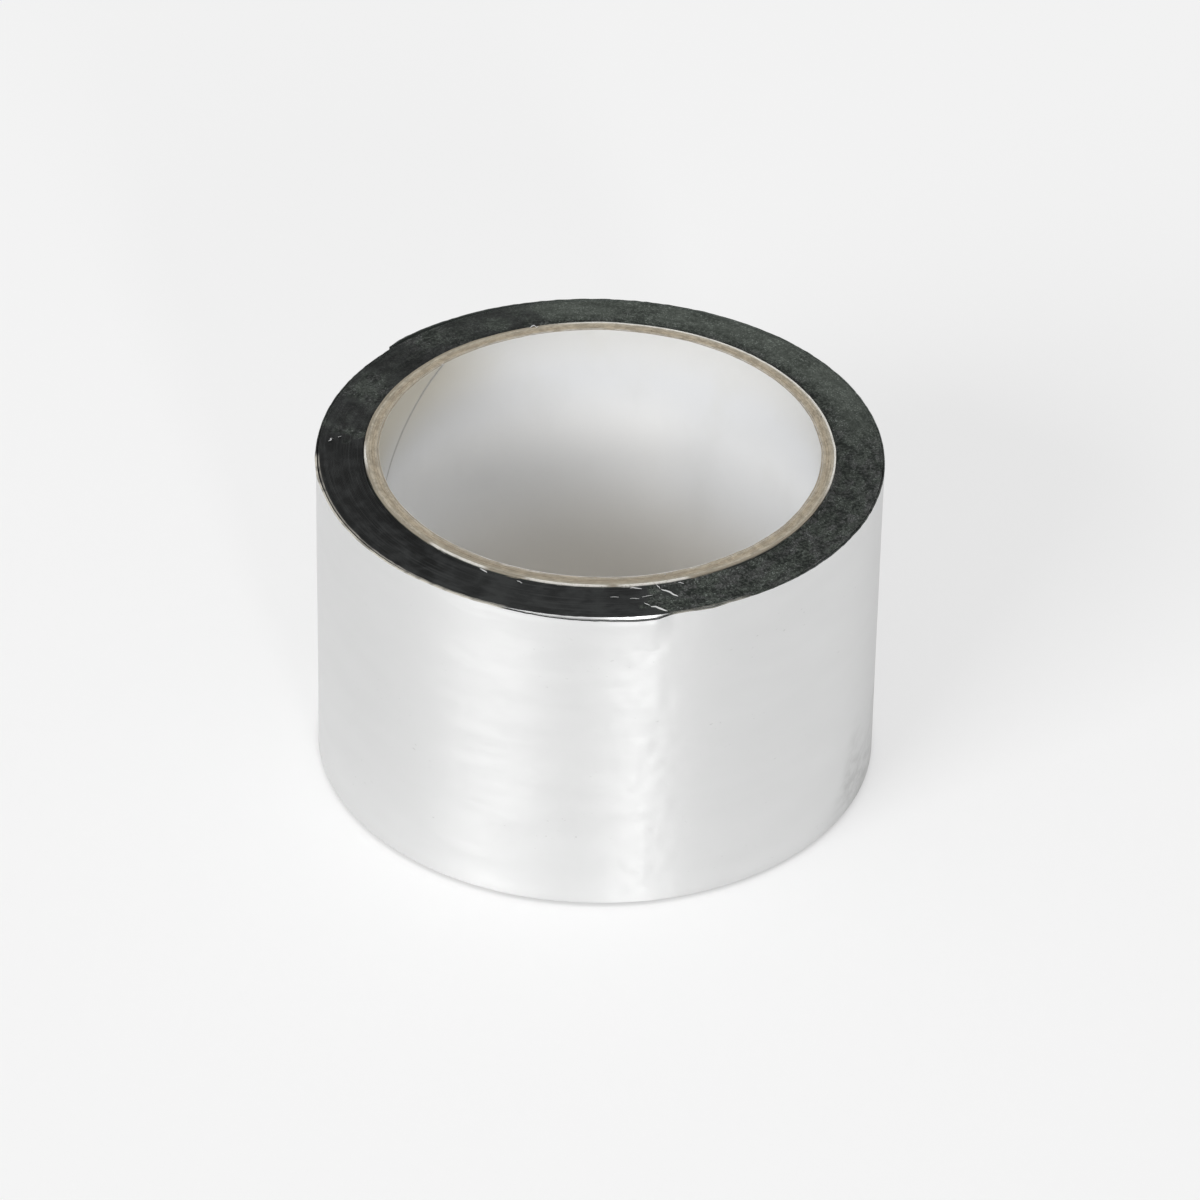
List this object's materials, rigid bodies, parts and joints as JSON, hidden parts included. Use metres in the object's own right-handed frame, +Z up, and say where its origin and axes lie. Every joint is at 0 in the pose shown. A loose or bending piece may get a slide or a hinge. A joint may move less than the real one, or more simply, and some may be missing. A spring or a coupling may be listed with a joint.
{
  "type": "duct tape roll",
  "caption": "Roll of foil-faced duct tape on a spiral-wound paper core, standing on its face, with its free end slightly lifted.",
  "frame": {"origin": "centre of the core's bore at the core's lower end, which the roll stands on", "axes": "+Z up along the bore; -Y is the front; the strip is wound anticlockwise outwards seen from above, and its free end is at 138 degrees from +X towards +Y"},
  "size_m": [0.0978, 0.098, 0.0612],
  "materials": {
    "foil_film": "satin",
    "adhesive": "satin",
    "liner_paper": "matte",
    "core_board": "matte",
    "wrap_paper": "matte"
  },
  "bodies": {
    "roll": {"core_liner": "liner_paper", "core_board_1": "core_board", "core_board_2": "core_board", "core_board_3": "core_board", "core_board_4": "core_board", "core_wrap": "wrap_paper", "wound_backing": "foil_film", "wound_adhesive": "adhesive"},
    "link_1": {"free_end_backing_1": "foil_film", "free_end_adhesive_1": "adhesive"},
    "link_2": {"free_end_backing_2": "foil_film", "free_end_adhesive_2": "adhesive"},
    "link_3": {"free_end_backing_3": "foil_film", "free_end_adhesive_3": "adhesive"},
    "link_4": {"free_end_backing_4": "foil_film", "free_end_adhesive_4": "adhesive"},
    "link_5": {"free_end_backing_5": "foil_film", "free_end_adhesive_5": "adhesive"},
    "link_6": {"free_end_backing_6": "foil_film", "free_end_adhesive_6": "adhesive"},
    "link_7": {"free_end_backing_7": "foil_film", "free_end_adhesive_7": "adhesive"},
    "link_8": {"free_end_backing_8": "foil_film", "free_end_adhesive_8": "adhesive"}
  },
  "joints": [
    {"name": "end_peel", "type": "hinge", "parent": "roll", "child": "link_1", "pos_m": [0.01014, 0.04798, 0.0006], "axis": [0, 0, -1], "range_deg": [0, 90]},
    {"name": "end_bend_2", "type": "hinge", "parent": "link_1", "child": "link_2", "pos_m": [0.00359, 0.04893, 0.0006], "axis": [0, 0, -1], "range_deg": [0, 7.5]},
    {"name": "end_bend_3", "type": "hinge", "parent": "link_2", "child": "link_3", "pos_m": [-0.00303, 0.04902, 0.0006], "axis": [0, 0, -1], "range_deg": [0, 7.5]},
    {"name": "end_bend_4", "type": "hinge", "parent": "link_3", "child": "link_4", "pos_m": [-0.0096, 0.04824, 0.0006], "axis": [0, 0, -1], "range_deg": [0, 7.5]},
    {"name": "end_bend_5", "type": "hinge", "parent": "link_4", "child": "link_5", "pos_m": [-0.01602, 0.04661, 0.0006], "axis": [0, 0, -1], "range_deg": [0, 7.5]},
    {"name": "end_bend_6", "type": "hinge", "parent": "link_5", "child": "link_6", "pos_m": [-0.02217, 0.04416, 0.0006], "axis": [0, 0, -1], "range_deg": [0, 7.5]},
    {"name": "end_bend_7", "type": "hinge", "parent": "link_6", "child": "link_7", "pos_m": [-0.02794, 0.04092, 0.0006], "axis": [0, 0, -1], "range_deg": [0, 7.5]},
    {"name": "end_bend_8", "type": "hinge", "parent": "link_7", "child": "link_8", "pos_m": [-0.03325, 0.03696, 0.0006], "axis": [0, 0, -1], "range_deg": [0, 7.5]}
  ],
  "couplings": [
    {"joint": "end_bend_2", "follows": "end_peel", "ratio": 0.083332},
    {"joint": "end_bend_3", "follows": "end_peel", "ratio": 0.083332},
    {"joint": "end_bend_4", "follows": "end_peel", "ratio": 0.083332},
    {"joint": "end_bend_5", "follows": "end_peel", "ratio": 0.083332},
    {"joint": "end_bend_6", "follows": "end_peel", "ratio": 0.083332},
    {"joint": "end_bend_7", "follows": "end_peel", "ratio": 0.083332},
    {"joint": "end_bend_8", "follows": "end_peel", "ratio": 0.083332}
  ]
}
